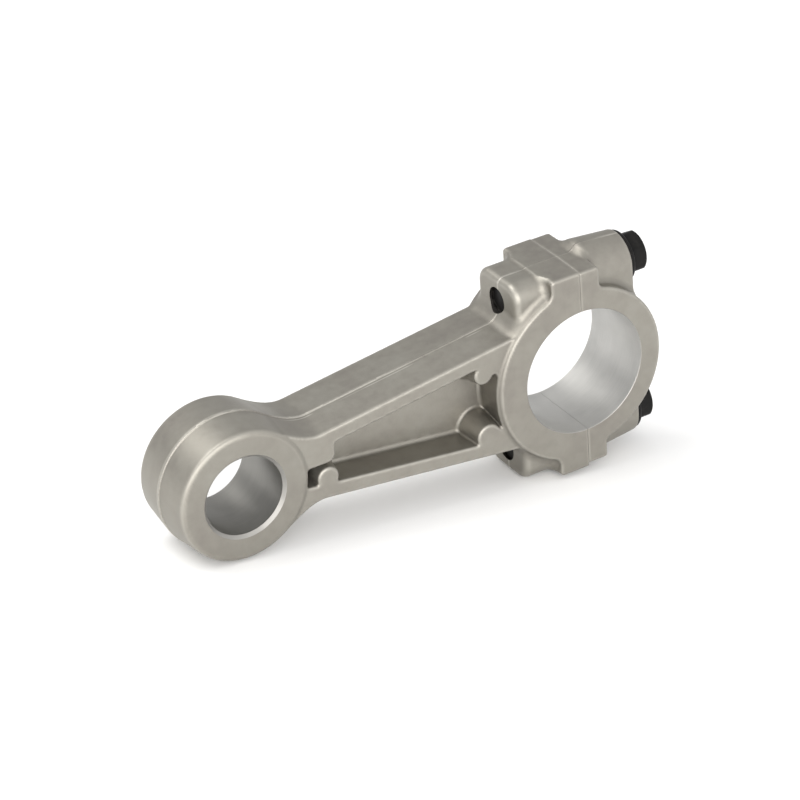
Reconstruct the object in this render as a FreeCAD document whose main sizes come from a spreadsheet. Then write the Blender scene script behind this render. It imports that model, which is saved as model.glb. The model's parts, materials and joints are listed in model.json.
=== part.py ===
import FreeCAD, Part
import math
import os
import Sketcher

# Two-piece connecting rod of a small engine, in millimetres.
# The crankpin bore's centre is the origin. +X runs along the rod from the wrist pin to the cap,
# +Y runs along both bores, and +Z runs across the rod, from the lower bolt to the upper one.
# The rod and its cap part on the plane x = 0, and two flange bolts along X hold them together.

document = FreeCAD.newDocument("ConnectingRod")

sheet = document.addObject("Spreadsheet::Sheet", "Dimensions")

DRIVING = [
    ("centre_distance", 97.0),
    ("crankpin_bore_radius", 17.0),
    ("wrist_pin_bore_radius", 10.5),
    ("bore_chamfer", 0.6),
    ("big_end_width", 22.8),
    ("small_end_width", 21.6),
    ("shank_width", 20.8),
    ("rod_ring_radius", 24.7),
    ("cap_ring_radius", 22.5),
    ("small_ring_radius", 17.1),
    ("small_ring_crown", 1.1),
    ("ear_height", 27.6),
    ("rod_ear_length", 8.2),
    ("cap_ear_length", 5.7),
    ("rod_boss_reach", 17.5),
    ("rod_boss_width", 18.0),
    ("rod_boss_root", 12.0),
    ("boss_bevel", 1.8),
    ("cap_boss_reach", 18.4),
    ("cap_boss_base_radius", 8.7),
    ("cap_boss_draft", -5.1),
    ("cap_boss_half_width", 7.0),
    ("cap_boss_root", 9.0),
    ("shank_small_half_height", 5.9),
    ("shank_big_half_height", 15.2),
    ("web_thickness", 5.2),
    ("pocket_small_half_height", 4.5),
    ("pocket_big_half_height", 12.0),
    ("pocket_overrun", 3.0),
    ("pocket_draft", -5.0),
    ("pillar_radius", 4.0),
    ("wide_pillar_radius", 4.7),
    ("pillar_draft", -10.0),
    ("small_pillar_station", -74.1),
    ("small_pillar_height", 3.2),
    ("big_pillar_station", -28.4),
    ("upper_big_pillar_height", 8.6),
    ("lower_big_pillar_height", 9.3),
    ("bolt_offset", 21.6),
    ("bolt_length", 35.0),
    ("pilot_radius", 4.0),
    ("pilot_depth", 5.0),
    ("pilot_clearance", 1.0),
    ("pilot_play", 0.05),
    ("thread_core_radius", 3.32),
    ("tapped_hole_radius", 3.4),
    ("bolt_tip_chamfer", 0.7),
    ("bolt_flange_radius", 6.8),
    ("bolt_flange_thickness", 1.2),
    ("bolt_flange_cone", 0.7),
    ("head_height", 5.8),
    ("head_flat_distance", 5.0),
    ("head_edge_length", 1.1),
    ("head_end_radius", 4.7),
    ("head_clearance", 1.0),
]

DERIVED = [
    ("small_end_station", "-centre_distance"),
    ("drum_face_edge", "small_ring_radius - centre_distance"),
    ("drum_crown_edge", "small_ring_radius + small_ring_crown - centre_distance"),
    ("small_end_half_width", "small_end_width / 2"),
    ("cut_reach", "rod_ring_radius * 2"),
    ("rod_ear_start", "-rod_ear_length"),
    ("rod_boss_start", "-rod_boss_reach"),
    ("web_half", "web_thickness / 2"),
    ("shank_half_width", "shank_width / 2"),
    ("pocket_small_end", "small_end_station + small_ring_radius - pocket_overrun"),
    ("pocket_big_end", "pocket_overrun - rod_ring_radius"),
    ("pillar_rise", "(shank_width - web_thickness) / 2"),
    ("pilot_hole_radius", "pilot_radius + pilot_play"),
    ("bolt_seat", "cap_boss_reach"),
    ("bolt_tip", "cap_boss_reach - bolt_length"),
    ("bolt_tip_body", "bolt_tip + bolt_tip_chamfer"),
    ("bolt_tip_radius", "thread_core_radius - bolt_tip_chamfer"),
    ("pilot_end", "pilot_clearance - pilot_depth"),
    ("flange_rim", "bolt_seat + bolt_flange_thickness / 2"),
    ("flange_top", "bolt_seat + bolt_flange_thickness + bolt_flange_cone"),
    ("head_end", "bolt_seat + head_height"),
    ("head_corner_radius", "head_flat_distance / cos(30 deg)"),
    ("head_edge_start", "head_end - head_edge_length"),
    ("head_clear_radius", "head_corner_radius + head_clearance"),
    ("head_clear_end", "head_end + head_clearance"),
]

SAME = 0.01
SMALLEST_CUT = 1.0
FLATS = 6

row = 1
for name, value in DRIVING:
    sheet.set("A%d" % row, name)
    sheet.set("B%d" % row, str(value))
    sheet.setAlias("B%d" % row, name)
    row += 1
document.recompute()
for name, formula in DERIVED:
    sheet.set("A%d" % row, name)
    sheet.set("B%d" % row, "=" + formula)
    sheet.setAlias("B%d" % row, name)
    document.recompute()
    row += 1


def read(name):
    """A sheet value as a number; a leading minus takes the opposite side and "0" is the origin."""
    if name == "0":
        return 0.0
    if name.startswith("-"):
        return -read(name[1:])
    return float(sheet.get(name))


def linked(name):
    """The expression that binds a size to its sheet cell."""
    if name.startswith("-"):
        return "-Dimensions." + name[1:]
    return "Dimensions." + name


def new_body(label):
    body = document.addObject("PartDesign::Body", label)
    body.Label = label
    return body


def new_sketch(body, name, role, offset="0"):
    """A sketch on one of the body's own origin planes, moved along that plane's normal."""
    sketch = body.newObject("Sketcher::SketchObject", name)
    plane = [item for item in body.Origin.OriginFeatures if item.Role == role][0]
    sketch.AttachmentSupport = [(plane, "")]
    sketch.MapMode = "FlatFace"
    if offset != "0":
        sketch.setExpression("AttachmentOffset.Base.z", linked(offset))
    document.recompute()
    return sketch


def pin_point(sketch, geometry, point, across, up):
    """Hold a point of the sketch at two sheet distances from the sketch's origin."""
    for kind, name, axis in (("DistanceX", across, -2), ("DistanceY", up, -1)):
        if name == "0":
            sketch.addConstraint(Sketcher.Constraint("PointOnObject", geometry, point, axis))
        else:
            index = sketch.addConstraint(
                Sketcher.Constraint(kind, -1, 1, geometry, point, read(name)))
            sketch.setExpression("Constraints[%d]" % index, linked(name))


def add_outline(sketch, corners):
    """A closed polygon whose corners are pairs of sheet names."""
    points = [FreeCAD.Vector(read(across), read(up), 0) for across, up in corners]
    count = len(points)
    first = sketch.GeometryCount
    for index in range(count):
        segment = Part.LineSegment(points[index], points[(index + 1) % count])
        sketch.addGeometry(segment, False)
    for index in range(count):
        after = first + (index + 1) % count
        sketch.addConstraint(Sketcher.Constraint("Coincident", first + index, 2, after, 1))
    for index, (across, up) in enumerate(corners):
        pin_point(sketch, first + index, 1, across, up)


def add_circle(sketch, radius, across="0", up="0"):
    centre = FreeCAD.Vector(read(across), read(up), 0)
    circle = Part.Circle(centre, FreeCAD.Vector(0, 0, 1), read(radius))
    geometry = sketch.addGeometry(circle, False)
    index = sketch.addConstraint(Sketcher.Constraint("Radius", geometry, read(radius)))
    sketch.setExpression("Constraints[%d]" % index, linked(radius))
    pin_point(sketch, geometry, 3, across, up)


def pad(body, sketch, name, length, draft=None, both_sides=True, reverse=False):
    feature = body.newObject("PartDesign::Pad", name)
    feature.Profile = sketch
    feature.setExpression("Length", linked(length))
    if both_sides:
        feature.SideType = "Symmetric"
    feature.Reversed = reverse
    if draft:
        feature.setExpression("TaperAngle", linked(draft))
    document.recompute()
    return feature


def pocket(body, sketch, name, length, draft=None, both_sides=True, reverse=False):
    """Cut a sketch out of the body, and stop if the cut missed the solid."""
    before = body.Shape.Volume
    feature = body.newObject("PartDesign::Pocket", name)
    feature.Profile = sketch
    feature.setExpression("Length", linked(length))
    if both_sides:
        feature.SideType = "Symmetric"
    feature.Reversed = reverse
    if draft:
        feature.setExpression("TaperAngle", linked(draft))
    document.recompute()
    if body.Shape.Volume > before - SMALLEST_CUT:
        raise RuntimeError(name + " removes nothing")
    return feature


def revolve(body, sketch, name, kind="PartDesign::Revolution"):
    """Turn a sketch about its own construction line, to add a solid or to cut a groove."""
    feature = body.newObject(kind, name)
    feature.Profile = sketch
    feature.ReferenceAxis = (sketch, ["Axis0"])
    feature.Angle = 360
    document.recompute()
    return feature


def mirror(body, features, name, role):
    """Repeat features on the other side of one of the body's origin planes."""
    feature = body.newObject("PartDesign::Mirrored", name)
    feature.Originals = features
    plane = [item for item in body.Origin.OriginFeatures if item.Role == role][0]
    feature.MirrorPlane = (plane, [""])
    body.Tip = feature
    document.recompute()
    return feature


def chamfer_arcs(body, name, radius, size, depths):
    """Chamfer the round edges of one radius that lie at the given depths along Y."""
    chosen = []
    for index, edge in enumerate(body.Shape.Edges):
        if not isinstance(edge.Curve, Part.Circle):
            continue
        same_radius = abs(edge.Curve.Radius - read(radius)) < SAME
        on_face = any(abs(edge.BoundBox.YMin - depth) < SAME and edge.BoundBox.YLength < SAME
                      for depth in depths)
        if same_radius and on_face:
            chosen.append("Edge%d" % (index + 1))
    base = body.Tip
    feature = body.newObject("PartDesign::Chamfer", name)
    feature.Base = (base, chosen)
    feature.setExpression("Size", linked(size))
    document.recompute()
    return feature


def bevel_edges(body, name, size, wanted):
    """Bevel the straight edges that the given test picks."""
    chosen = []
    for index, edge in enumerate(body.Shape.Edges):
        if isinstance(edge.Curve, Part.Line) and wanted(edge):
            chosen.append("Edge%d" % (index + 1))
    base = body.Tip
    feature = body.newObject("PartDesign::Chamfer", name)
    feature.Base = (base, chosen)
    feature.setExpression("Size", linked(size))
    document.recompute()
    return feature


def cut_away(body, name, left, right):
    """Clear everything between two stations along the rod, for one half of the parted ring."""
    sketch = new_sketch(body, name + "_sketch", "XZ_Plane")
    add_outline(sketch, [(left, "-cut_reach"), (right, "-cut_reach"),
                         (right, "cut_reach"), (left, "cut_reach")])
    pocket(body, sketch, name, "cut_reach")


# Rod: the shank comes first, so that the two ends close its side pockets with their own round walls.

rod = new_body("rod")

shank = new_sketch(rod, "shank_sketch", "XZ_Plane")
add_outline(shank, [("small_end_station", "-shank_small_half_height"),
                    ("rod_boss_start", "-shank_big_half_height"),
                    ("rod_boss_start", "shank_big_half_height"),
                    ("small_end_station", "shank_small_half_height")])
pad(rod, shank, "shank", "shank_width")

# Each side of the shank has a pocket down to the web, with a conical pillar in each corner.
side = new_sketch(rod, "side_pocket_sketch", "XZ_Plane", "shank_half_width")
add_outline(side, [("pocket_small_end", "-pocket_small_half_height"),
                   ("pocket_big_end", "-pocket_big_half_height"),
                   ("pocket_big_end", "pocket_big_half_height"),
                   ("pocket_small_end", "pocket_small_half_height")])
side_pocket = pocket(rod, side, "side_pocket", "pillar_rise", "pocket_draft", False)

pillars = new_sketch(rod, "pillar_sketch", "XZ_Plane", "web_half")
add_circle(pillars, "pillar_radius", "small_pillar_station", "small_pillar_height")
add_circle(pillars, "pillar_radius", "big_pillar_station", "upper_big_pillar_height")
add_circle(pillars, "wide_pillar_radius", "big_pillar_station", "-lower_big_pillar_height")
upper_pillars = pad(rod, pillars, "corner_pillars", "pillar_rise", "pillar_draft", False)
low_pillar = new_sketch(rod, "low_pillar_sketch", "XZ_Plane", "web_half")
add_circle(low_pillar, "pillar_radius", "small_pillar_station", "-small_pillar_height")
lower_pillar = pad(rod, low_pillar, "low_corner_pillar", "pillar_rise", "pillar_draft", False)
mirror(rod, [side_pocket, upper_pillars, lower_pillar], "far_side_pocket", "XZ_Plane")

ring = new_sketch(rod, "ring_sketch", "XZ_Plane")
add_circle(ring, "rod_ring_radius")
pad(rod, ring, "ring", "big_end_width")

ears = new_sketch(rod, "ears_sketch", "XZ_Plane")
add_outline(ears, [("rod_ear_start", "-ear_height"), ("0", "-ear_height"),
                   ("0", "ear_height"), ("rod_ear_start", "ear_height")])
pad(rod, ears, "ears", "big_end_width")

boss = new_sketch(rod, "bolt_boss_sketch", "XZ_Plane")
add_outline(boss, [("rod_boss_start", "rod_boss_root"), ("rod_ear_start", "rod_boss_root"),
                   ("rod_ear_start", "ear_height"), ("rod_boss_start", "ear_height")])
upper_boss = pad(rod, boss, "bolt_boss", "rod_boss_width")
mirror(rod, [upper_boss], "bolt_boss_pair", "XY_Plane")

drum = new_sketch(rod, "drum_sketch", "XY_Plane")
add_outline(drum, [("small_end_station", "-small_end_half_width"),
                   ("drum_face_edge", "-small_end_half_width"),
                   ("drum_crown_edge", "0"),
                   ("drum_face_edge", "small_end_half_width"),
                   ("small_end_station", "small_end_half_width")])
axis = drum.addGeometry(Part.LineSegment(
    FreeCAD.Vector(read("small_end_station"), -read("web_half"), 0),
    FreeCAD.Vector(read("small_end_station"), read("web_half"), 0)), True)
drum.addConstraint(Sketcher.Constraint("Vertical", axis))
pin_point(drum, axis, 1, "small_end_station", "-web_half")
revolve(rod, drum, "small_end_drum")

cut_away(rod, "ring_parting", "0", "cut_reach")

bores = new_sketch(rod, "bores_sketch", "XZ_Plane")
add_circle(bores, "crankpin_bore_radius")
add_circle(bores, "wrist_pin_bore_radius", "small_end_station")
pocket(rod, bores, "bores", "cut_reach")

tapped = new_sketch(rod, "tapped_holes_sketch", "YZ_Plane")
add_circle(tapped, "tapped_hole_radius", "0", "bolt_offset")
add_circle(tapped, "tapped_hole_radius", "0", "-bolt_offset")
pocket(rod, tapped, "tapped_holes", "rod_boss_reach", None, False)

pilot = new_sketch(rod, "pilot_sketch", "YZ_Plane")
add_circle(pilot, "pilot_hole_radius", "0", "bolt_offset")
add_circle(pilot, "pilot_hole_radius", "0", "-bolt_offset")
pocket(rod, pilot, "pilot_counterbores", "pilot_depth", None, False)

big_faces = (-read("big_end_width") / 2, read("big_end_width") / 2)
small_faces = (-read("small_end_half_width"), read("small_end_half_width"))
chamfer_arcs(rod, "wrist_pin_chamfer", "wrist_pin_bore_radius", "bore_chamfer", small_faces)
chamfer_arcs(rod, "crankpin_chamfer", "crankpin_bore_radius", "bore_chamfer", big_faces)


def is_boss_edge(edge):
    """The outer edges of the two bolt bosses that run along the rod."""
    box = edge.BoundBox
    runs_along = box.XLength > SAME and box.YLength < SAME and box.ZLength < SAME
    on_side = abs(abs(box.YMin) - read("rod_boss_width") / 2) < SAME
    at_top = abs(abs(box.ZMin) - read("ear_height")) < SAME
    return runs_along and on_side and at_top


bevel_edges(rod, "boss_bevels", "boss_bevel", is_boss_edge)


# Cap: the other half of the big end, with a round boss for each bolt.

cap = new_body("cap")

cap_ring = new_sketch(cap, "ring_sketch", "XZ_Plane")
add_circle(cap_ring, "cap_ring_radius")
pad(cap, cap_ring, "ring", "big_end_width")
cut_away(cap, "ring_parting", "-cut_reach", "0")

cap_ears = new_sketch(cap, "ears_sketch", "XZ_Plane")
add_outline(cap_ears, [("0", "-ear_height"), ("cap_ear_length", "-ear_height"),
                       ("cap_ear_length", "ear_height"), ("0", "ear_height")])
pad(cap, cap_ears, "ears", "big_end_width")

barrels = new_sketch(cap, "bolt_barrels_sketch", "YZ_Plane")
add_circle(barrels, "cap_boss_base_radius", "0", "bolt_offset")
add_circle(barrels, "cap_boss_base_radius", "0", "-bolt_offset")
pad(cap, barrels, "bolt_barrels", "cap_boss_reach", "cap_boss_draft", False)

# A block fills the corner between each barrel and the ring.
root = new_sketch(cap, "barrel_root_sketch", "YZ_Plane")
add_outline(root, [("-cap_boss_half_width", "cap_boss_root"), ("cap_boss_half_width", "cap_boss_root"),
                   ("cap_boss_half_width", "bolt_offset"), ("-cap_boss_half_width", "bolt_offset")])
upper_root = pad(cap, root, "barrel_root", "cap_boss_reach", None, False)
mirror(cap, [upper_root], "barrel_root_pair", "XY_Plane")

cap_bore = new_sketch(cap, "crankpin_bore_sketch", "XZ_Plane")
add_circle(cap_bore, "crankpin_bore_radius")
pocket(cap, cap_bore, "crankpin_bore", "cut_reach")

bolt_holes = new_sketch(cap, "bolt_holes_sketch", "YZ_Plane")
add_circle(bolt_holes, "pilot_hole_radius", "0", "bolt_offset")
add_circle(bolt_holes, "pilot_hole_radius", "0", "-bolt_offset")
pocket(cap, bolt_holes, "bolt_holes", "cap_boss_reach", None, False, True)

chamfer_arcs(cap, "crankpin_chamfer", "crankpin_bore_radius", "bore_chamfer", big_faces)


# Bolts: flanged hexagon head, fitted pilot shank, and a threaded end shown at its core size.

def make_bolt(label, side):
    bolt = new_body(label)
    turned = new_sketch(bolt, "turned_sketch", "XY_Plane")
    add_outline(turned, [("bolt_tip", "0"), ("bolt_tip", "bolt_tip_radius"),
                         ("bolt_tip_body", "thread_core_radius"),
                         ("pilot_end", "thread_core_radius"), ("pilot_end", "pilot_radius"),
                         ("bolt_seat", "pilot_radius"), ("bolt_seat", "bolt_flange_radius"),
                         ("flange_rim", "bolt_flange_radius"), ("flange_top", "head_flat_distance"),
                         ("flange_top", "0")])
    centre_line = turned.addGeometry(Part.LineSegment(
        FreeCAD.Vector(read("bolt_tip"), 0, 0), FreeCAD.Vector(read("flange_top"), 0, 0)), True)
    turned.addConstraint(Sketcher.Constraint("Horizontal", centre_line))
    pin_point(turned, centre_line, 1, "bolt_tip", "0")
    revolve(bolt, turned, "turned_body")
    hexagon = new_sketch(bolt, "hexagon_sketch", "YZ_Plane", "bolt_seat")
    corner = read("head_corner_radius")
    turn = math.tau / FLATS
    points = [FreeCAD.Vector(corner * math.cos(turn * step), corner * math.sin(turn * step), 0)
              for step in range(FLATS)]
    for step in range(FLATS):
        hexagon.addGeometry(Part.LineSegment(points[step], points[(step + 1) % FLATS]), False)
    circle = hexagon.addGeometry(Part.Circle(FreeCAD.Vector(), FreeCAD.Vector(0, 0, 1), corner), True)
    for step in range(FLATS):
        after = (step + 1) % FLATS
        hexagon.addConstraint(Sketcher.Constraint("Coincident", step, 2, after, 1))
        hexagon.addConstraint(Sketcher.Constraint("PointOnObject", step, 1, circle))
        if step:
            hexagon.addConstraint(Sketcher.Constraint("Equal", 0, step))
    hexagon.addConstraint(Sketcher.Constraint("Coincident", circle, 3, -1, 1))
    size = hexagon.addConstraint(Sketcher.Constraint("Radius", circle, corner))
    hexagon.setExpression("Constraints[%d]" % size, "Dimensions.head_corner_radius")
    hexagon.addConstraint(Sketcher.Constraint("PointOnObject", 0, 1, -1))
    pad(bolt, hexagon, "hexagon_head", "head_height", None, False)
    edge = new_sketch(bolt, "head_edge_sketch", "XY_Plane")
    add_outline(edge, [("head_edge_start", "head_clear_radius"),
                       ("head_edge_start", "head_corner_radius"), ("head_end", "head_end_radius"),
                       ("head_clear_end", "head_end_radius"), ("head_clear_end", "head_clear_radius")])
    edge_line = edge.addGeometry(Part.LineSegment(
        FreeCAD.Vector(read("bolt_tip"), 0, 0), FreeCAD.Vector(read("flange_top"), 0, 0)), True)
    edge.addConstraint(Sketcher.Constraint("Horizontal", edge_line))
    pin_point(edge, edge_line, 1, "bolt_tip", "0")
    revolve(bolt, edge, "head_edge", "PartDesign::Groove")
    bolt.setExpression("Placement.Base.z", linked(side + "bolt_offset"))
    document.recompute()
    return bolt


upper_bolt = make_bolt("upper_bolt", "")
lower_bolt = make_bolt("lower_bolt", "-")

document.recompute()
for item in document.Objects:
    if "Invalid" in item.State or "Error" in item.State:
        raise RuntimeError("%s failed: %s" % (item.Name, item.State))

os.makedirs("parts", exist_ok=True)
for body in (rod, cap, upper_bolt, lower_bolt):
    shape = body.Shape
    if shape.isNull() or not shape.isValid() or len(shape.Solids) != 1:
        raise RuntimeError(body.Label + " isn't one valid solid")
    shape.exportStep("parts/%s.step" % body.Label)
    print("%-12s %9.1f mm3" % (body.Label, shape.Volume))
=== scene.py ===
import json
import math

import bpy
import numpy as np
import openvdb
from mathutils import Matrix, Vector


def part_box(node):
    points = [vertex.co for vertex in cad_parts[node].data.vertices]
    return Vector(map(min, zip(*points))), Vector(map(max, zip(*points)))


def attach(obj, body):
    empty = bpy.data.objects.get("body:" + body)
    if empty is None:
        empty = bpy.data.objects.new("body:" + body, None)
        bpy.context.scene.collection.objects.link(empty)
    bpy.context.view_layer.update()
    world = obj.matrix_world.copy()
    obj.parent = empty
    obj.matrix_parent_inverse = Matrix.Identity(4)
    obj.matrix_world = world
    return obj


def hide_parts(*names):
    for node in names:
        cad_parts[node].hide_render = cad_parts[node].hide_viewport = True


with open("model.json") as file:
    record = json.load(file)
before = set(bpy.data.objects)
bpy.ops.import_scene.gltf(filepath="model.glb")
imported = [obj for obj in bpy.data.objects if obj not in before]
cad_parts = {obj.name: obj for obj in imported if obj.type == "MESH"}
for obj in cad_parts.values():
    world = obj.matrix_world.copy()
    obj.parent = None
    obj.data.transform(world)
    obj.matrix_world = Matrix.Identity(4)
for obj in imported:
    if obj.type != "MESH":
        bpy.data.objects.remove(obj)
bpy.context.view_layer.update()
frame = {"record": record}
MOUNTS = {mount["name"]: mount for mount in frame["record"]["mounts"]}
MM = 0.001

# Sizes in millimetres. X runs along the rod to the cap, Y along the bores, Z across the rod.
# The near and far sides are alike but for the step at the parting plane. A _HALF is half a width on Y.
CRANK_R = MOUNTS["crankpin_bore"]["dims"]["r_mm"]
PIN_R = MOUNTS["wrist_pin_bore"]["dims"]["r_mm"]
EYE_X = MOUNTS["wrist_pin_bore"]["pos_m"][0] / MM
BIG_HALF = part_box("rod")[1].y / MM
EYE_HALF = 10.8
SHANK_HALF = 10.4
WEB_HALF = 2.6
EYE_RIM_R = 18.15
ROD_RING_R = 25.0
CAP_RING_R = 23.05

# Ears, bosses and barrels. A _ROOT is the height on Z that the shape grows out from.
EAR_TOP = 28.35
EAR_ROOT = 8.0
ROD_EAR_X = -8.4
CAP_EAR_X = 5.7
CAP_EAR_DROP = 0.15
CAP_LOWER_EAR_DROP = 0.7
CAP_NARROWER = 0.05
ROD_BOSS_TOP = 28.0
ROD_BOSS_ROOT = 6.0
ROD_BOSS_X = -17.5
ROD_BOSS_END_X = -4.0
ROD_BOSS_HALF = 9.0
BARREL_R = 8.95
BARREL_TAPER = 0.094
BARREL_ROOT = 9.0
BARREL_START_X = 4.6
SEAT_BEHIND_CROWN = 4.1
SEAT_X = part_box("cap")[1].x / MM - SEAT_BEHIND_CROWN
BOLT_Z = 21.6

# The die: its parting plane, and how much each wall leans (DRAFT) for a millimetre of depth. The shank
# stands CROWN higher at the parting plane, and the far half stands a STEP proud of the near one.
PARTING_Y = -0.75
SHANK_DRAFT = 0.055
EYE_DRAFT = 0.095
RING_DRAFT = 0.03
EAR_DRAFT = 0.02
POCKET_DRAFT = 0.1
PILLAR_DRAFT = 0.17
SHANK_CROWN = 0.6
SHANK_STEP = 0.16
EYE_STEP = 0.3

# The shank tapers from the crank down to its neck, and the pockets taper with it.
NECK_X = -72.75
NECK_HEIGHT = 9.35
SHANK_FLARE = 0.1235
SHANK_END_X = -10.0
TAPER_COSINE = 0.9925
POCKET_X = -71.5
POCKET_HEIGHT = 5.6
POCKET_FLARE = 0.128
POCKET_TO_RING_R = 25.4
POCKET_TO_EYE_R = 17.5
PILLARS = ((-28.6, 8.7, 2.6), (-28.1, -9.3, 3.3), (-74.0, -3.7, 2.9))

# The joint: each casting is cast long, rounded at the edge and milled back to just short of the plane.
JOINT_STOCK = 0.1
JOINT_EDGE = 0.35
JOINT_FACE = 0.03

# Bolts and their holes.
PITCH = 1.25
THREAD_START = -4.0
THREAD_STEP = PITCH / 10
TAP_CORE_R = 3.4
TAP_CREST_R = 4.02
TAP_MOUTH = 0.4
CLEAR_HOLE_R = 4.05
PILOT_END_X = -5.0
PILOT_FULL_X = -4.6
PILOT_END_R = 3.0
HOLE_SIDES = 72
BORE_SIDES = 288

# A rolled thread's outline: a straight flank that is cut off flat at the crest and the root.
THREAD_SLANT = 1.35
THREAD_FLAT = 0.15


# Soft-edged solids as distance fields: negative inside, positive outside.

def join(a, b, fillet):
    """Both solids, with a fillet where they meet."""
    u = np.maximum(fillet - a, 0)
    v = np.maximum(fillet - b, 0)
    return np.maximum(fillet, np.minimum(a, b)) - np.hypot(u, v)


def meet(a, b, edge):
    """What both solids share, with a rounded edge."""
    return -join(-a, -b, edge)


def flank(x):
    """Half height of the shank at its faces."""
    return NECK_HEIGHT + SHANK_FLARE * (x - NECK_X)


def mismatch(y):
    """The far die half stands a little proud of the near one: 0 before the parting plane, 1 after it."""
    return np.clip((y - PARTING_Y) / 0.5 + 0.5, 0, 1)


def pocket_field(x, a, z):
    """The space beside the web, less the filled corners and the pillars that stand in it."""
    below = SHANK_HALF - a
    lean = below * POCKET_DRAFT
    void = (np.abs(z) - (POCKET_HEIGHT + POCKET_FLARE * (x - POCKET_X))) * TAPER_COSINE + lean
    upper_small = meet(x - POCKET_X, 0.6 - z, edge=2.3)
    upper_big = meet(-28.6 - x, 8.0 - z, edge=0.8)
    lower_big = meet(-26.5 - x, z + 8.8, edge=0.8)
    for corner in (upper_small, upper_big, lower_big):
        void = meet(void, -(corner - lean), edge=0.7)
    void = meet(void, POCKET_TO_RING_R + below * 0.04 - np.hypot(x, z), edge=2.0)
    void = meet(void, POCKET_TO_EYE_R + below * 0.05 - np.hypot(x - EYE_X, z), edge=0.8)
    void = meet(void, WEB_HALF - a, edge=1.1)
    for pillar_x, pillar_z, pillar_r in PILLARS:
        pillar = np.hypot(x - pillar_x, z - pillar_z) - pillar_r - below * PILLAR_DRAFT
        void = meet(void, -pillar, edge=0.8)
    return void


def rod_field(x, y, z):
    depth = np.abs(y - PARTING_Y)
    a = np.abs(y)
    side = np.abs(z)
    proud = mismatch(y)
    shank = (side - flank(x) - SHANK_CROWN + depth * SHANK_DRAFT - SHANK_STEP * proud) * TAPER_COSINE
    shank = np.maximum(shank, np.maximum(x - SHANK_END_X, EYE_X - x))
    drum = np.hypot(x - EYE_X, z) - EYE_RIM_R + depth * EYE_DRAFT - EYE_STEP * proud
    solid = join(shank, drum, fillet=7.0)
    boss = meet(a - ROD_BOSS_HALF, side - ROD_BOSS_TOP, edge=4.3)
    boss = meet(boss, ROD_BOSS_X - x, edge=1.7)
    boss = np.maximum(np.maximum(boss, ROD_BOSS_ROOT - side), x - ROD_BOSS_END_X)
    solid = join(solid, boss, fillet=3.6)
    solid = meet(solid, a - SHANK_HALF, edge=0.55)
    solid = meet(solid, -pocket_field(x, a, z), edge=0.55)
    solid = join(solid, meet(drum, a - EYE_HALF, edge=1.1), fillet=0.4)
    ear_top = side - EAR_TOP + depth * EAR_DRAFT
    ear = np.maximum(meet(ROD_EAR_X - x, ear_top, edge=1.0), EAR_ROOT - side)
    ring = np.hypot(x, z) - ROD_RING_R + depth * RING_DRAFT
    head = meet(join(ring, ear, fillet=1.6), a - BIG_HALF, edge=0.6)
    whole = join(solid, head, fillet=np.clip(0.9 + (side - 16) * 0.3, 0.9, 2.1))
    return meet(np.maximum(whole, ear_top), x - JOINT_STOCK, JOINT_EDGE)


def cap_field(x, y, z):
    depth = np.abs(y - PARTING_Y)
    side = np.abs(z)
    ear_top = side - EAR_TOP + CAP_EAR_DROP + depth * EAR_DRAFT + CAP_LOWER_EAR_DROP * (z < 0)
    ear = np.maximum(meet(x - CAP_EAR_X, ear_top, edge=0.9), EAR_ROOT - side)
    ring = np.hypot(x, z) - CAP_RING_R + depth * RING_DRAFT
    head = meet(join(ring, ear, fillet=1.4), np.abs(y) - BIG_HALF + CAP_NARROWER, edge=0.6)
    barrel = np.hypot(y, np.maximum(side - BOLT_Z, 0)) - (BARREL_R - BARREL_TAPER * x)
    barrel = meet(meet(barrel, x - SEAT_X, edge=0.5), BARREL_START_X - x, edge=2.4)
    barrel = np.maximum(barrel, BARREL_ROOT - side)
    return meet(join(head, barrel, fillet=1.3), -JOINT_STOCK - x, JOINT_EDGE)


# Meshes.

def unit(v):
    """Each row at length one."""
    return v / np.maximum(np.linalg.norm(v, axis=1, keepdims=True), 1e-9)


def slope_of(field, p, reach=0.03):
    """The field's outward direction at each point."""
    out = np.empty_like(p)
    for k in range(3):
        step = np.zeros(3)
        step[k] = reach
        out[:, k] = field(*(p + step).T) - field(*(p - step).T)
    return unit(out)


def cast_mesh(name, field, low, high, step):
    """A closed mesh on the field's surface."""
    low, high = np.array(low, float), np.array(high, float)
    count = np.ceil((high - low) / step).astype(int) + 1
    axes = [low[k] + step * np.arange(count[k]) for k in range(3)]
    values = field(*np.meshgrid(*axes, indexing="ij", sparse=True))
    grid = openvdb.FloatGrid(3 * step)
    grid.copyFromArray(np.ascontiguousarray(values, dtype=np.float32))
    points, quads = grid.convertToQuads(isovalue=0.0)
    p = np.asarray(points, float) * step + low
    for _ in range(3):
        away = field(*p.T)
        p = p - slope_of(field, p) * away[:, None]
    mesh = bpy.data.meshes.new(name)
    mesh.from_pydata((p * MM).tolist(), [], np.asarray(quads).tolist())
    mesh.update()
    return mesh


def new_object(name, data):
    obj = bpy.data.objects.new(name, data)
    bpy.context.scene.collection.objects.link(obj)
    return obj


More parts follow.
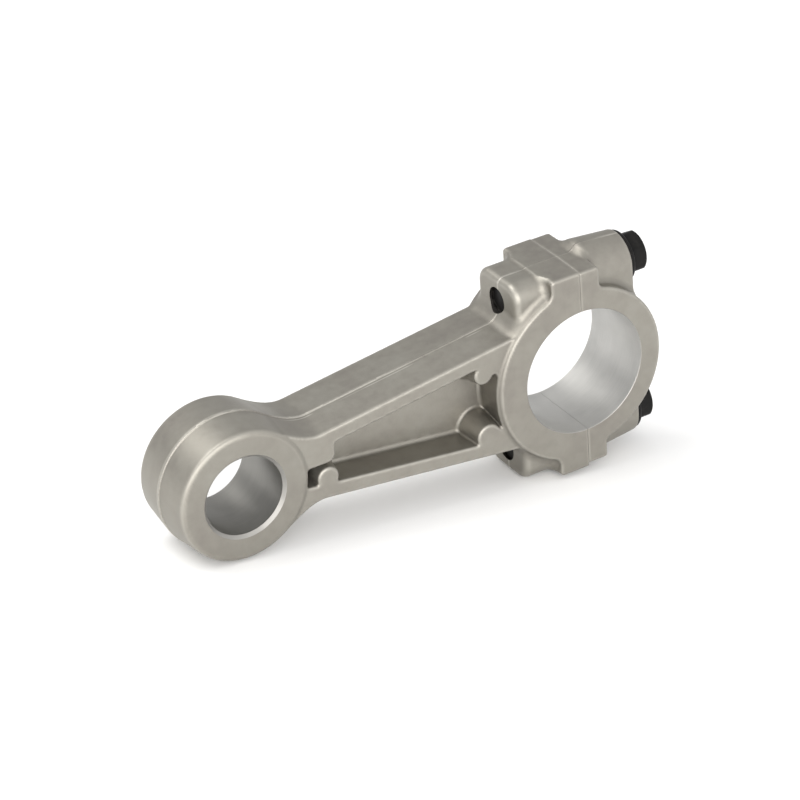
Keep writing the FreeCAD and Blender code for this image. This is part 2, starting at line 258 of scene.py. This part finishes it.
def turned_mesh(name, rings, around, axis, centre):
    """A closed lathe solid: rings is a list of (station, radius or radii), along X or Y."""
    angle = np.arange(around) * math.tau / around
    points = []
    for station, radius in rings:
        r = np.broadcast_to(np.asarray(radius, float), (around,))
        if axis == "X":
            block = np.stack([np.full(around, station), r * np.cos(angle), r * np.sin(angle)], 1)
        else:
            block = np.stack([r * np.sin(angle), np.full(around, station), r * np.cos(angle)], 1)
        points.append(block + np.array(centre, float))
    first = np.arange(around)
    after = (first + 1) % around
    faces = []
    for k in range(len(rings) - 1):
        lower, upper = k * around, (k + 1) * around
        faces += np.stack([lower + first, lower + after, upper + after, upper + first], 1).tolist()
    faces.append(list(range(around - 1, -1, -1)))
    faces.append(list(range((len(rings) - 1) * around, len(rings) * around)))
    mesh = bpy.data.meshes.new(name)
    mesh.from_pydata((np.concatenate(points) * MM).tolist(), [], faces)
    mesh.update()
    return mesh


def block_mesh(name, low, high):
    xs, ys, zs = zip(low, high)
    points = [(x * MM, y * MM, z * MM) for x in xs for y in ys for z in zs]
    faces = [(0, 1, 3, 2), (4, 6, 7, 5), (0, 4, 5, 1), (2, 3, 7, 6), (0, 2, 6, 4), (1, 5, 7, 3)]
    mesh = bpy.data.meshes.new(name)
    mesh.from_pydata(points, [], faces)
    return mesh


def applied(obj):
    """The object's mesh as its modifiers leave it; the modifiers are removed."""
    bpy.context.view_layer.update()
    evaluated = obj.evaluated_get(bpy.context.evaluated_depsgraph_get())
    result = bpy.data.meshes.new_from_object(evaluated)
    obj.modifiers.clear()
    obj.data = result
    return result


def cut(obj, cutter_mesh, finish):
    """Take the cutter out of the object; the new faces carry the given finish."""
    cutter_mesh.materials.append(finish)
    cutter = new_object("cutter", cutter_mesh)
    modifier = obj.modifiers.new("cut", "BOOLEAN")
    modifier.operation = "DIFFERENCE"
    modifier.solver = "MANIFOLD"
    modifier.material_mode = "TRANSFER"
    modifier.object = cutter
    applied(obj)
    bpy.data.objects.remove(cutter)


def thread_radius(station, angle, core, crest):
    """Radius of a right-hand metric thread at a station along X."""
    phase = (station / PITCH - angle / math.tau) % 1.0
    wave = np.abs(2 * phase - 1)
    return core + (crest - core) * np.clip(wave * THREAD_SLANT - THREAD_FLAT, 0, 1)


# Finishes: every pattern is laid out in the object's own coordinates, in metres.

BLACK = (0, 0, 0)
WHITE = (1, 1, 1)


def material(name):
    made = bpy.data.materials.new(name)
    made.use_nodes = True
    tree = made.node_tree
    tree.nodes.clear()
    return made, tree


def node(tree, kind, settings=None, **values):
    made = tree.nodes.new(kind)
    for key, value in (settings or {}).items():
        setattr(made, key, value)
    for key, value in values.items():
        made.inputs[key.replace("_", " ")].default_value = value
    return made


def math_node(tree, operation, first, second=None, clamp=False):
    made = tree.nodes.new("ShaderNodeMath")
    made.operation = operation
    made.use_clamp = clamp
    for index, value in enumerate((first, second)):
        if value is None:
            continue
        if isinstance(value, (int, float)):
            made.inputs[index].default_value = value
        else:
            tree.links.new(value, made.inputs[index])
    return made.outputs[0]


def plus(tree, first, second, clamp=False):
    return math_node(tree, "ADD", first, second, clamp)


def minus(tree, first, second, clamp=False):
    return math_node(tree, "SUBTRACT", first, second, clamp)


def times(tree, first, second, clamp=False):
    return math_node(tree, "MULTIPLY", first, second, clamp)


def over(tree, first, second):
    return math_node(tree, "DIVIDE", first, second)


def larger(tree, first, second):
    return math_node(tree, "MAXIMUM", first, second)


def blend(tree, first, second, share):
    """One pattern with a share of the other."""
    return plus(tree, times(tree, first, 1 - share), times(tree, second, share))


def ramp(tree, source, stops):
    made = tree.nodes.new("ShaderNodeValToRGB")
    tree.links.new(source, made.inputs["Fac"])
    elements = made.color_ramp.elements
    while len(elements) < len(stops):
        elements.new(0.5)
    for element, (place, colour) in zip(elements, stops):
        element.position = place
        element.color = (*colour, 1)
    return made.outputs["Color"]


def tinted(tree, base, tint, share):
    """A colour drawn towards a tint by a share."""
    made = tree.nodes.new("ShaderNodeMix")
    made.data_type = "RGBA"
    made.inputs["B"].default_value = (*tint, 1)
    tree.links.new(share, made.inputs["Factor"])
    tree.links.new(base, made.inputs["A"])
    return made.outputs["Result"]


def noise(tree, vector, scale, detail=3.0, roughness=0.5):
    made = node(tree, "ShaderNodeTexNoise", Scale=scale, Detail=detail, Roughness=roughness)
    tree.links.new(vector, made.inputs["Vector"])
    return made.outputs["Fac"]


def object_place(tree):
    return tree.nodes.new("ShaderNodeTexCoord").outputs["Object"]


def stretched(tree, vector, scale):
    made = tree.nodes.new("ShaderNodeMapping")
    made.inputs["Scale"].default_value = scale
    tree.links.new(vector, made.inputs["Vector"])
    return made.outputs["Vector"]


def band(tree, value, centre, half, soft):
    """1 near a value, fading to 0 away from it."""
    away = math_node(tree, "ABSOLUTE", minus(tree, value, centre))
    return minus(tree, 1.0, over(tree, minus(tree, away, half), soft), clamp=True)


def finish_surface(tree, colour, rough, bump=None, **shine):
    """The shader and the material's output; bump is (height, strength, distance)."""
    shader = node(tree, "ShaderNodeBsdfPrincipled", **shine)
    tree.links.new(colour, shader.inputs["Base Color"])
    if isinstance(rough, float):
        shader.inputs["Roughness"].default_value = rough
    else:
        tree.links.new(rough, shader.inputs["Roughness"])
    if bump:
        height, strength, distance = bump
        relief = node(tree, "ShaderNodeBump", Strength=strength, Distance=distance)
        tree.links.new(height, relief.inputs["Height"])
        tree.links.new(relief.outputs["Normal"], shader.inputs["Normal"])
    out = tree.nodes.new("ShaderNodeOutputMaterial")
    tree.links.new(shader.outputs["BSDF"], out.inputs["Surface"])


def painted_flash_highlights(tree, at, xyz, patch):
    """Painted highlight along the flash: patchy at the parting plane, whole round the eye, and a broken
    second line.
    """
    seam = band(tree, xyz["Y"], PARTING_Y * MM, 0.00022, 0.00025)
    seam = times(tree, seam, ramp(tree, patch, [(0.46, BLACK), (0.56, WHITE)]))
    ridge = band(tree, xyz["Y"], (PARTING_Y + 0.15) * MM, 0.0002, 0.0006)
    on_eye = times(tree, minus(tree, -0.087, xyz["X"]), 160.0, clamp=True)
    ridge = times(tree, times(tree, ridge, on_eye), 0.55)
    second = band(tree, xyz["Y"], (PARTING_Y - 1.0) * MM, 0.00006, 0.00018)
    along = noise(tree, stretched(tree, at, (1.0, 0.1, 0.1)), 48.0, 1.0)
    second = times(tree, second, ramp(tree, along, [(0.50, BLACK), (0.54, WHITE)]))
    second = times(tree, second, band(tree, xyz["X"], -0.052, 0.026, 0.004))
    return larger(tree, larger(tree, seam, ridge), second)


def cast_aluminium():
    """Blasted die casting: satin skin, pitted here and there, with a flash line at the parting plane. Its
    colour carries painted highlight on edges and flash, and painted shade in corners.
    """
    made, tree = material("cast_aluminium_skin")
    at = object_place(tree)
    split = tree.nodes.new("ShaderNodeSeparateXYZ")
    tree.links.new(at, split.inputs[0])
    xyz = split.outputs
    wear_sheen_and_shade = node(tree, "ShaderNodeAttribute", {"attribute_name": "edge_wear"}).outputs["Fac"]
    broad = noise(tree, at, 55.0, 4.0, 0.6)
    fine = noise(tree, at, 420.0, 3.0, 0.6)
    grain = noise(tree, at, 3300.0, 2.0, 0.5)
    patch = noise(tree, stretched(tree, at, (1.0, 1.0, 1.6)), 38.0, 2.0, 0.4)

    colour = ramp(tree, blend(tree, broad, fine, 0.4), [
        (0.30, (0.240, 0.223, 0.200)), (0.5, (0.277, 0.263, 0.232)), (0.72, (0.310, 0.299, 0.266))])
    # Painted light: outer edges drawn pale, partly rubbed wear and partly painted highlight; the flash lines
    # drawn pale as painted highlight; corners drawn dark as painted shade.
    lift = times(tree, wear_sheen_and_shade, plus(tree, 0.06, times(tree, patch, 0.42)))
    lift = plus(tree, lift, times(tree, painted_flash_highlights(tree, at, xyz, patch), 0.55))
    colour = tinted(tree, colour, (0.55, 0.53, 0.48), larger(tree, lift, 0.0))
    colour = tinted(tree, colour, (0.09, 0.085, 0.075), larger(tree, times(tree, lift, -0.8), 0.0))

    flash = times(tree, band(tree, xyz["Y"], PARTING_Y * MM, 0.00008, 0.00022),
                  math_node(tree, "GREATER_THAN", noise(tree, at, 130.0, 1.0), 0.40))
    pits = ramp(tree, noise(tree, at, 900.0, 2.0, 0.7), [(0.60, BLACK), (0.78, WHITE)])
    height = plus(tree, times(tree, grain, 0.10), times(tree, fine, 0.28))
    height = plus(tree, height, times(tree, flash, 0.9))
    height = minus(tree, height, times(tree, pits, 0.10))
    rough = plus(tree, times(tree, fine, 0.16), 0.40)
    finish_surface(tree, colour, rough, (height, 0.55, 0.00022), Metallic=0.92, IOR=1.45)
    return made


def machined_aluminium(name, scale, tint, rough_base):
    """A bored, drilled or milled face: fine tool lines that run across the given scale."""
    made, tree = material(name)
    at = object_place(tree)
    lines = noise(tree, stretched(tree, at, scale), 1.0, 3.0, 0.6)
    cloud = noise(tree, at, 90.0, 3.0, 0.5)
    tone = blend(tree, lines, cloud, 0.70)
    colour = ramp(tree, tone, [(0.34, tuple(c * 0.86 for c in tint)), (0.5, tint),
                               (0.66, tuple(c * 1.10 for c in tint))])
    rough = plus(tree, times(tree, tone, 0.14), rough_base)
    finish_surface(tree, colour, rough, (lines, 0.25, 0.00004), Metallic=0.95, IOR=1.45)
    return made


def black_oxide():
    """Black oxide on forged steel, slightly rubbed."""
    made, tree = material("black_oxide_steel")
    at = object_place(tree)
    cloud = noise(tree, at, 260.0, 4.0, 0.6)
    grain = noise(tree, at, 2600.0, 2.0, 0.5)
    colour = ramp(tree, cloud, [
        (0.3, (0.004, 0.004, 0.004)), (0.55, (0.0075, 0.007, 0.0067)), (0.8, (0.018, 0.017, 0.016))])
    height = plus(tree, cloud, times(tree, grain, 0.5))
    rough = plus(tree, times(tree, cloud, 0.25), 0.34)
    finish_surface(tree, colour, rough, (height, 0.4, 0.00008),
                   Metallic=0.0, IOR=1.38, Specular_IOR_Level=0.2)
    return made


SKIN = cast_aluminium()
BORED = machined_aluminium("bored_aluminium", (60.0, 5200.0, 60.0), (0.50, 0.495, 0.478), 0.38)
# The eye's bore is the crank bore's finish at half the brightness: painted shade.
EYE_BORED_SHADED = machined_aluminium("eye_bored_aluminium", (60.0, 3800.0, 60.0), (0.25, 0.245, 0.23), 0.36)
EDGE_CUT = machined_aluminium("chamfered_aluminium", (300.0, 300.0, 300.0), (0.36, 0.35, 0.33), 0.42)
MILLED = machined_aluminium("milled_aluminium", (60.0, 5200.0, 300.0), (0.42, 0.42, 0.40), 0.32)
# Drilled and tapped walls are near black, far darker than the bored aluminium: painted shade inside the
# holes.
DRILLED_SHADED = machined_aluminium("drilled_aluminium", (5200.0, 60.0, 60.0), (0.06, 0.056, 0.052), 0.45)
THREADED_SHADED = machined_aluminium("tapped_aluminium", (900.0, 900.0, 900.0), (0.035, 0.033, 0.03), 0.45)
STEEL = black_oxide()


# Shading of the castings.

def column(items, key, width=1, kind=float):
    """One property of every item, as an array."""
    values = np.empty(len(items) * width, kind)
    items.foreach_get(key, values)
    return values.reshape(-1, width) if width > 1 else values


def mark_wear_sheen_and_corner_shade(mesh, field, p):
    """Store how sharply the skin bends: above 0 on an outer edge, below 0 in a corner. The skin's colour
    turns it into pale edges, partly rubbed wear and partly painted highlight, and painted shade in the
    corners.
    """
    reach = 0.35
    full_sheen_and_shade = 1.2
    bend = -6 * field(*p.T)
    for k in range(3):
        step = np.zeros(3)
        step[k] = reach
        bend = bend + field(*(p + step).T) + field(*(p - step).T)
    wear_sheen_and_shade = mesh.attributes.new("edge_wear", "FLOAT", "POINT")
    wear_sheen_and_shade.data.foreach_set("value", np.clip(bend / reach ** 2 / full_sheen_and_shade, -1, 1).astype(np.float32))


def turned_normal(flat, middle, p, centre, along):
    """Round the face normals at p about a turning line through centre."""
    keep = np.array(along, float)

    def arm(place):
        out = place - centre
        return unit(out - np.outer(out @ keep, keep))

    return unit((flat * arm(middle)).sum(1, keepdims=True) * arm(p) + np.outer(flat @ keep, keep))


def finish_casting(obj, field):
    """Shade the cast skin from its field and the machined faces from their own turned shape."""
    mesh = obj.data
    p = column(mesh.vertices, "co", 3) / MM
    mark_wear_sheen_and_corner_shade(mesh, field, p)
    corner = column(mesh.loops, "vertex_index", kind=int)
    owner = np.repeat(np.arange(len(mesh.polygons)), column(mesh.polygons, "loop_total", kind=int))
    flat = column(mesh.polygons, "normal", 3)[owner]
    middle = (column(mesh.polygons, "center", 3) / MM)[owner]
    names = np.array([finish.name for finish in mesh.materials])
    kind = names[column(mesh.polygons, "material_index", kind=int)][owner]
    normal = slope_of(field, p)[corner]
    here = p[corner]

    bore_line = np.zeros_like(here)
    bore_line[here[:, 0] < EYE_X / 2, 0] = EYE_X
    bolt_line = np.zeros_like(here)
    bolt_line[:, 2] = np.sign(here[:, 2]) * BOLT_Z
    in_bore = np.isin(kind, (BORED.name, EYE_BORED_SHADED.name, EDGE_CUT.name))
    in_hole = kind == DRILLED_SHADED.name
    for mask, line, along in ((in_bore, bore_line, (0, 1, 0)), (in_hole, bolt_line, (1, 0, 0))):
        normal[mask] = turned_normal(flat[mask], middle[mask], here[mask], line[mask], along)
    plain = (kind == MILLED.name) | (kind == THREADED_SHADED.name)
    normal[plain] = flat[plain]
    mesh.polygons.foreach_set("use_smooth", np.ones(len(mesh.polygons), bool))
    mesh.normals_split_custom_set(normal.tolist())
    mesh.update()


# The two castings.

GRID_STEP = 0.5


def casting(name, field, low, high):
    mesh = cast_mesh(name, field, low, high, GRID_STEP)
    mesh.materials.append(SKIN)
    return new_object(name, mesh)


def bored(obj, name, radius, centre, half, bevel, finish):
    """A bore right through along Y, with a bevel at each mouth."""
    far = half + 3
    cut(obj, turned_mesh(name, [(-far, radius), (far, radius)], BORE_SIDES, "Y", centre), finish)
    for end in (-1, 1):
        rings = [(end * far, radius + bevel + far - half), (end * (half - bevel - 0.01), radius - 0.01)]
        rings.sort()
        cut(obj, turned_mesh(name + "_bevel", rings, BORE_SIDES, "Y", centre), EDGE_CUT)


def drilled(obj, name, rings, side, finish):
    """A round hole along X on a bolt's line."""
    cut(obj, turned_mesh(name, rings, HOLE_SIDES, "X", (0, 0, side * BOLT_Z)), finish)


rod = casting("rod_casting", rod_field, (-117, -13, -30), (4.5, 13, 30))
cut(rod, block_mesh("joint_side", (-JOINT_FACE, -20, -40), (20, 20, 40)), MILLED)
bored(rod, "crank_bore", CRANK_R, (0, 0, 0), BIG_HALF, 0.2, BORED)
bored(rod, "eye_bore", PIN_R, (EYE_X, 0, 0), EYE_HALF, 0.8, EYE_BORED_SHADED)
turns = np.arange(HOLE_SIDES) * math.tau / HOLE_SIDES
stations = np.arange(ROD_BOSS_X + TAP_MOUTH, THREAD_START, THREAD_STEP)
tap_rings = [(s, thread_radius(s, turns, TAP_CORE_R, TAP_CREST_R)) for s in stations]
pilot_rings = [(PILOT_END_X, PILOT_END_R), (PILOT_FULL_X, CLEAR_HOLE_R), (1, CLEAR_HOLE_R)]
mouth_rings = [(ROD_BOSS_X - 3, TAP_CORE_R), (ROD_BOSS_X + 1, TAP_CORE_R)]
# The pilot, tap and mouth walls carry the painted shade of the holes.
for side in (1, -1):
    drilled(rod, "pilot", pilot_rings, side, DRILLED_SHADED)
    drilled(rod, "tap", tap_rings, side, THREADED_SHADED)
    drilled(rod, "mouth", mouth_rings, side, DRILLED_SHADED)
finish_casting(rod, rod_field)
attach(rod, "rod")
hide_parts("rod")

cap = casting("cap_casting", cap_field, (-4.5, -13, -32), (25, 13, 32))
cut(cap, block_mesh("joint_side", (-20, -20, -40), (JOINT_FACE, 20, 40)), MILLED)
bored(cap, "crank_bore", CRANK_R, (0, 0, 0), BIG_HALF, 0.2, BORED)
for side in (1, -1):
    drilled(cap, "bolt_hole", [(-1, CLEAR_HOLE_R), (SEAT_X + 1, CLEAR_HOLE_R)], side, DRILLED_SHADED)
finish_casting(cap, cap_field)
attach(cap, "cap")
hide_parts("cap")


# Bolts: a flanged hexagon head, a fitted plain length and a rolled thread.

HEAD_END = SEAT_X + 5.9
FLANGE_R = 6.8
FLAT_R = 5.0
CORNER_LIMIT = 1.10
FITTED_R = 3.98
DOME_LENGTH = 1.7
BOLT_TIP = SEAT_X - 35
BOLT_CORE_R = 3.3
BOLT_CREST_R = 3.92
BOLT_LEAD_IN = 2.2
LEAD_IN_FROM = 0.80
LEAD_IN_RISE = 0.20
BOLT_SIDES = 96


def thread_tree():
    """Rolls a thread on a turned bolt blank and sets the bolt at its height across the rod."""
    tree = bpy.data.node_groups.new("rolled_thread", "GeometryNodeTree")
    sockets = tree.interface
    sockets.new_socket(name="Blank", in_out="INPUT", socket_type="NodeSocketGeometry")
    for label in ("Pitch", "Depth", "Thread start", "Tip", "Lead in", "Seat height"):
        sockets.new_socket(name=label, in_out="INPUT", socket_type="NodeSocketFloat")
    sockets.new_socket(name="Finish", in_out="INPUT", socket_type="NodeSocketMaterial")
    sockets.new_socket(name="Bolt", in_out="OUTPUT", socket_type="NodeSocketGeometry")
    given = tree.nodes.new("NodeGroupInput").outputs
    xyz = tree.nodes.new("ShaderNodeSeparateXYZ")
    tree.links.new(tree.nodes.new("GeometryNodeInputPosition").outputs[0], xyz.inputs[0])
    station, across, up = xyz.outputs

    turn = over(tree, math_node(tree, "ARCTAN2", up, across), math.tau)
    phase = math_node(tree, "FRACT", minus(tree, over(tree, station, given["Pitch"]), turn))
    wave = math_node(tree, "ABSOLUTE", minus(tree, times(tree, phase, 2.0), 1.0))
    share = minus(tree, times(tree, wave, THREAD_SLANT), THREAD_FLAT, clamp=True)
    reach = over(tree, minus(tree, station, given["Tip"]), given["Lead in"])
    lead = plus(tree, times(tree, reach, LEAD_IN_RISE), LEAD_IN_FROM, clamp=True)
    threaded = math_node(tree, "LESS_THAN", station, given["Thread start"])
    lift = times(tree, times(tree, share, lead), times(tree, threaded, given["Depth"]))

    outward = tree.nodes.new("ShaderNodeCombineXYZ")
    tree.links.new(across, outward.inputs["Y"])
    tree.links.new(up, outward.inputs["Z"])
    outward_unit = node(tree, "ShaderNodeVectorMath", {"operation": "NORMALIZE"})
    tree.links.new(outward.outputs[0], outward_unit.inputs[0])
    push = node(tree, "ShaderNodeVectorMath", {"operation": "SCALE"})
    tree.links.new(outward_unit.outputs[0], push.inputs[0])
    tree.links.new(lift, push.inputs["Scale"])
    rolled = tree.nodes.new("GeometryNodeSetPosition")
    tree.links.new(given["Blank"], rolled.inputs["Geometry"])
    tree.links.new(push.outputs[0], rolled.inputs["Offset"])
    height = tree.nodes.new("ShaderNodeCombineXYZ")
    tree.links.new(given["Seat height"], height.inputs["Z"])
    seated = tree.nodes.new("GeometryNodeTransform")
    tree.links.new(rolled.outputs[0], seated.inputs["Geometry"])
    tree.links.new(height.outputs[0], seated.inputs["Translation"])
    whole = tree.nodes.new("GeometryNodeRealizeInstances")
    tree.links.new(seated.outputs[0], whole.inputs["Geometry"])
    finished = tree.nodes.new("GeometryNodeSetMaterial")
    tree.links.new(whole.outputs[0], finished.inputs["Geometry"])
    tree.links.new(given["Finish"], finished.inputs["Material"])
    tree.links.new(finished.outputs[0], tree.nodes.new("NodeGroupOutput").inputs["Bolt"])
    return tree


def bolt_blank(name):
    """A turned bolt on the X axis, its threaded length still plain at the core size."""
    angle = np.arange(BOLT_SIDES) * math.tau / BOLT_SIDES
    fold = (angle + math.pi / 6) % (math.pi / 3) - math.pi / 6
    hexagon = np.minimum(FLAT_R / np.cos(fold), FLAT_R * CORNER_LIMIT)
    stations = np.arange(BOLT_TIP, THREAD_START - 0.6, THREAD_STEP)
    rings = []
    for s in stations:
        lead = min(1.0, LEAD_IN_FROM + (s - BOLT_TIP) / BOLT_LEAD_IN * LEAD_IN_RISE)
        rings.append((s, BOLT_CORE_R * lead))
    rings += [(stations[-1] + 0.3, BOLT_CORE_R), (-3.75, 3.5), (-3.4, FITTED_R), (SEAT_X - 0.7, FITTED_R),
              (SEAT_X - 0.15, 4.03), (SEAT_X, 4.4)]
    flange = [(0.0, 6.0), (0.02, 6.6), (0.25, FLANGE_R), (0.75, FLANGE_R), (1.05, 6.6), (1.3, 6.2)]
    rings += [(SEAT_X + rise, radius) for rise, radius in flange]
    rings += [(SEAT_X + 1.55, np.maximum(hexagon, 5.75)), (SEAT_X + 1.75, np.maximum(hexagon, 5.35)),
              (SEAT_X + 2.0, hexagon), (SEAT_X + 2.2, hexagon), (HEAD_END - 1.75, hexagon)]
    for share in np.linspace(0.0, 1.0, 9):
        turn = share * math.pi / 2
        limit = 4.2 + 1.5 * math.cos(turn)
        rings.append((HEAD_END - DOME_LENGTH + DOME_LENGTH * math.sin(turn), np.minimum(hexagon, limit)))
    dish = [(0.0, 3.9), (0.03, 3.5), (0.25, 3.2), (0.3, 2.9), (0.3, 0.4)]
    rings += [(HEAD_END - sink, radius) for sink, radius in dish]
    return turned_mesh(name, rings, BOLT_SIDES, "X", (0, 0, 0))


ROLLED_THREAD = thread_tree()

for name, side in (("upper_bolt", 1), ("lower_bolt", -1)):
    bolt = new_object(name + "_forging", bolt_blank(name + "_blank"))
    modifier = bolt.modifiers.new("thread", "NODES")
    modifier.node_group = ROLLED_THREAD
    given = {"Pitch": PITCH * MM, "Depth": (BOLT_CREST_R - BOLT_CORE_R) * MM,
             "Thread start": (THREAD_START - 0.65) * MM, "Tip": BOLT_TIP * MM,
             "Lead in": BOLT_LEAD_IN * MM, "Seat height": side * BOLT_Z * MM, "Finish": STEEL}
    for socket in ROLLED_THREAD.interface.items_tree:
        if socket.name in given:
            modifier[socket.identifier] = given[socket.name]
    mesh = applied(bolt)
    mesh.polygons.foreach_set("use_smooth", np.ones(len(mesh.polygons), bool))
    mesh.set_sharp_from_angle(angle=math.radians(38))
    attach(bolt, name)
    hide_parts(name)


# The stand: the rod rests on the underside of its eye and on the lower bolt boss.

EYE_SOLE_R = 18.3
FLOOR_GAP = 0.05

eye_foot = Vector((EYE_X, 0, -EYE_SOLE_R))
boss_foot = Vector((ROD_BOSS_X, 0, -ROD_BOSS_TOP))
run = boss_foot - eye_foot
tilt = math.atan2(-run.z, run.x)
floor_up = Vector((math.sin(tilt), 0, math.cos(tilt)))
drop = max((-eye_foot).dot(floor_up), (-boss_foot).dot(floor_up))

floor_material, floor_tree = material("pale_floor")
floor_colour = ramp(floor_tree, noise(floor_tree, object_place(floor_tree), 6.0, 2.0),
                    [(0.3, (0.85, 0.85, 0.85)), (0.7, (0.87, 0.87, 0.87))])
finish_surface(floor_tree, floor_colour, 0.85)

floor_mesh = bpy.data.meshes.new("floor")
floor_mesh.from_pydata([(-3, -3, 0), (3, -3, 0), (3, 3, 0), (-3, 3, 0)], [], [(0, 1, 2, 3)])
floor_mesh.materials.append(floor_material)
floor = new_object("floor", floor_mesh)
floor.rotation_euler = (0, tilt, 0)
floor.location = floor_up * (-(drop + FLOOR_GAP) * MM)


# Light and camera, in metres.

MIDDLE = Vector((-0.045, 0, 0))


def soft_light(name, place, size, watts, colour):
    """A soft panel of light that faces the middle of the rod."""
    light = bpy.data.lights.new(name, "AREA")
    light.shape = "RECTANGLE"
    light.size, light.size_y = size
    light.energy = watts
    light.color = colour
    lamp = new_object(name, light)
    lamp.location = place
    lamp.rotation_euler = (MIDDLE - Vector(place)).to_track_quat("-Z", "Y").to_euler()


soft_light("key_light", (-0.45, 0.25, 0.85), (0.7, 0.6), 5.5, (1.0, 0.99, 0.97))
soft_light("front_light", (-0.38, -0.86, 0.26), (1.3, 0.9), 13.0, (1.0, 0.985, 0.965))

# The studio is white in front of the rod and greyer behind it.
world = bpy.data.worlds.new("studio")
bpy.context.scene.world = world
world.use_nodes = True
sky_tree = world.node_tree
sky_at = sky_tree.nodes.new("ShaderNodeTexCoord").outputs["Generated"]
sky_xyz = sky_tree.nodes.new("ShaderNodeSeparateXYZ")
sky_tree.links.new(sky_at, sky_xyz.inputs[0])
sky_share = plus(sky_tree, times(sky_tree, sky_xyz.outputs["Y"], 0.5), 0.5)
sky_colour = ramp(sky_tree, sky_share, [(0.1, WHITE), (0.55, (0.85, 0.85, 0.85)), (0.9, (0.60, 0.60, 0.60))])
sky_tree.links.new(sky_colour, sky_tree.nodes["Background"].inputs["Color"])
sky_tree.nodes["Background"].inputs["Strength"].default_value = 1.15

bpy.context.scene.view_settings.view_transform = "Standard"

# The camera's heading is turned from +Y towards +X, and its dip is below level, both in degrees.
CAMERA_PLACE = Vector((-0.423536, -0.69036, 0.477508))
CAMERA_HEADING = 28.60726
CAMERA_DIP = 31.07991
CAMERA_ROLL = -4.66906

camera_data = bpy.data.cameras.new("camera")
camera_data.sensor_width = 36.0
camera_data.lens = 167.28
camera_data.clip_start, camera_data.clip_end = 0.05, 20.0
camera = new_object("camera", camera_data)
camera.matrix_world = (Matrix.Translation(CAMERA_PLACE)
                       @ Matrix.Rotation(math.radians(-CAMERA_HEADING), 4, "Z")
                       @ Matrix.Rotation(math.radians(90 - CAMERA_DIP), 4, "X")
                       @ Matrix.Rotation(math.radians(CAMERA_ROLL), 4, "Z"))
bpy.context.scene.camera = camera
